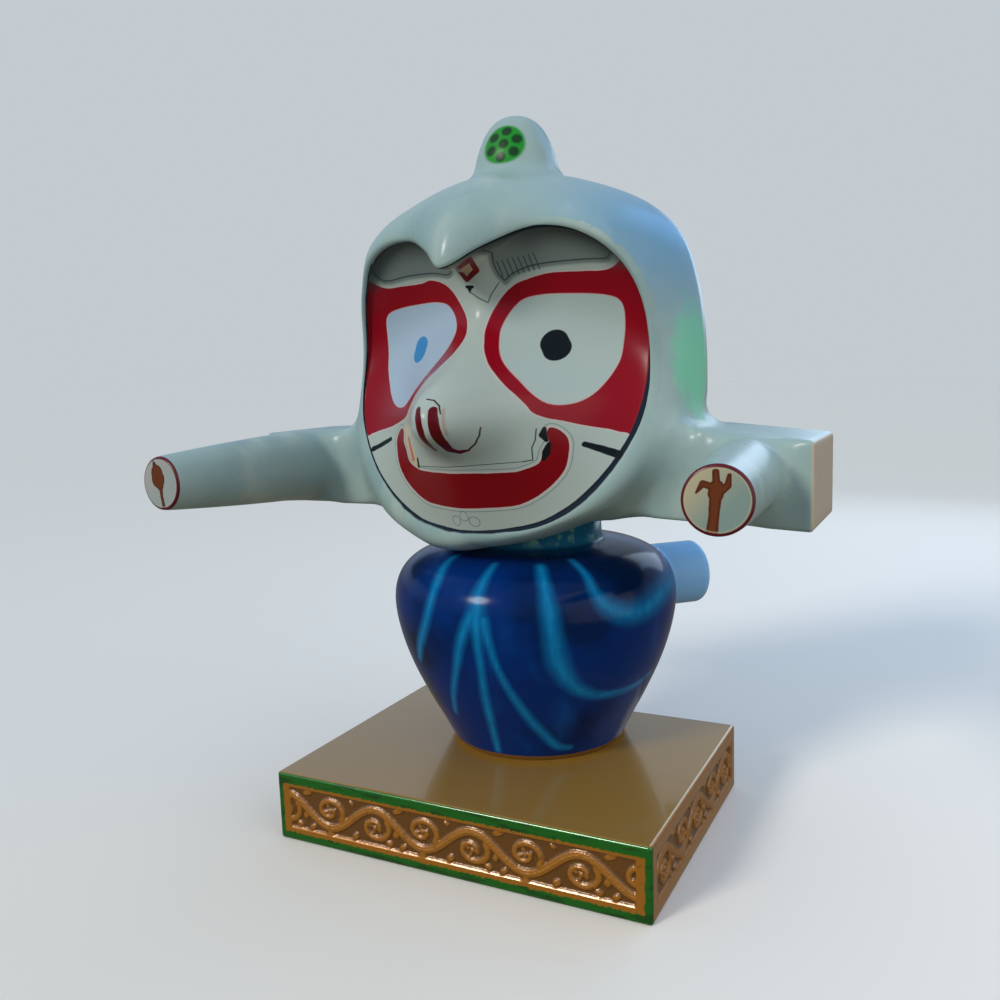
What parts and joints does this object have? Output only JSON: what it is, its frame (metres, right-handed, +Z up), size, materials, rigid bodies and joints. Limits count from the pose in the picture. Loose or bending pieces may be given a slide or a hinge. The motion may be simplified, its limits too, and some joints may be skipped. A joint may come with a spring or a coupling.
{
  "type": "balabhadra figure",
  "caption": "Moulded and enamelled Balabhadra figure with hooded round face, forward arms and pot-shaped body, standing on a rectangular plinth with scroll relief.",
  "frame": {"origin": "centre of the plinth's underside, where the object stands", "axes": "+Z up, -Y is where the face looks, +X is the figure's own left"},
  "size_m": [1.026, 0.7309, 1.222],
  "materials": {
    "enamelled_fibreglass": "glossy hand-painted enamel over moulded fibreglass: pale grey-green head and arms, red and white face, deep blue body",
    "gold_enamel": "glossy gold-brown enamel with brushed green edges"
  },
  "bodies": {
    "root": {"figure": "enamelled_fibreglass", "plinth": "gold_enamel"}
  },
  "joints": []
}
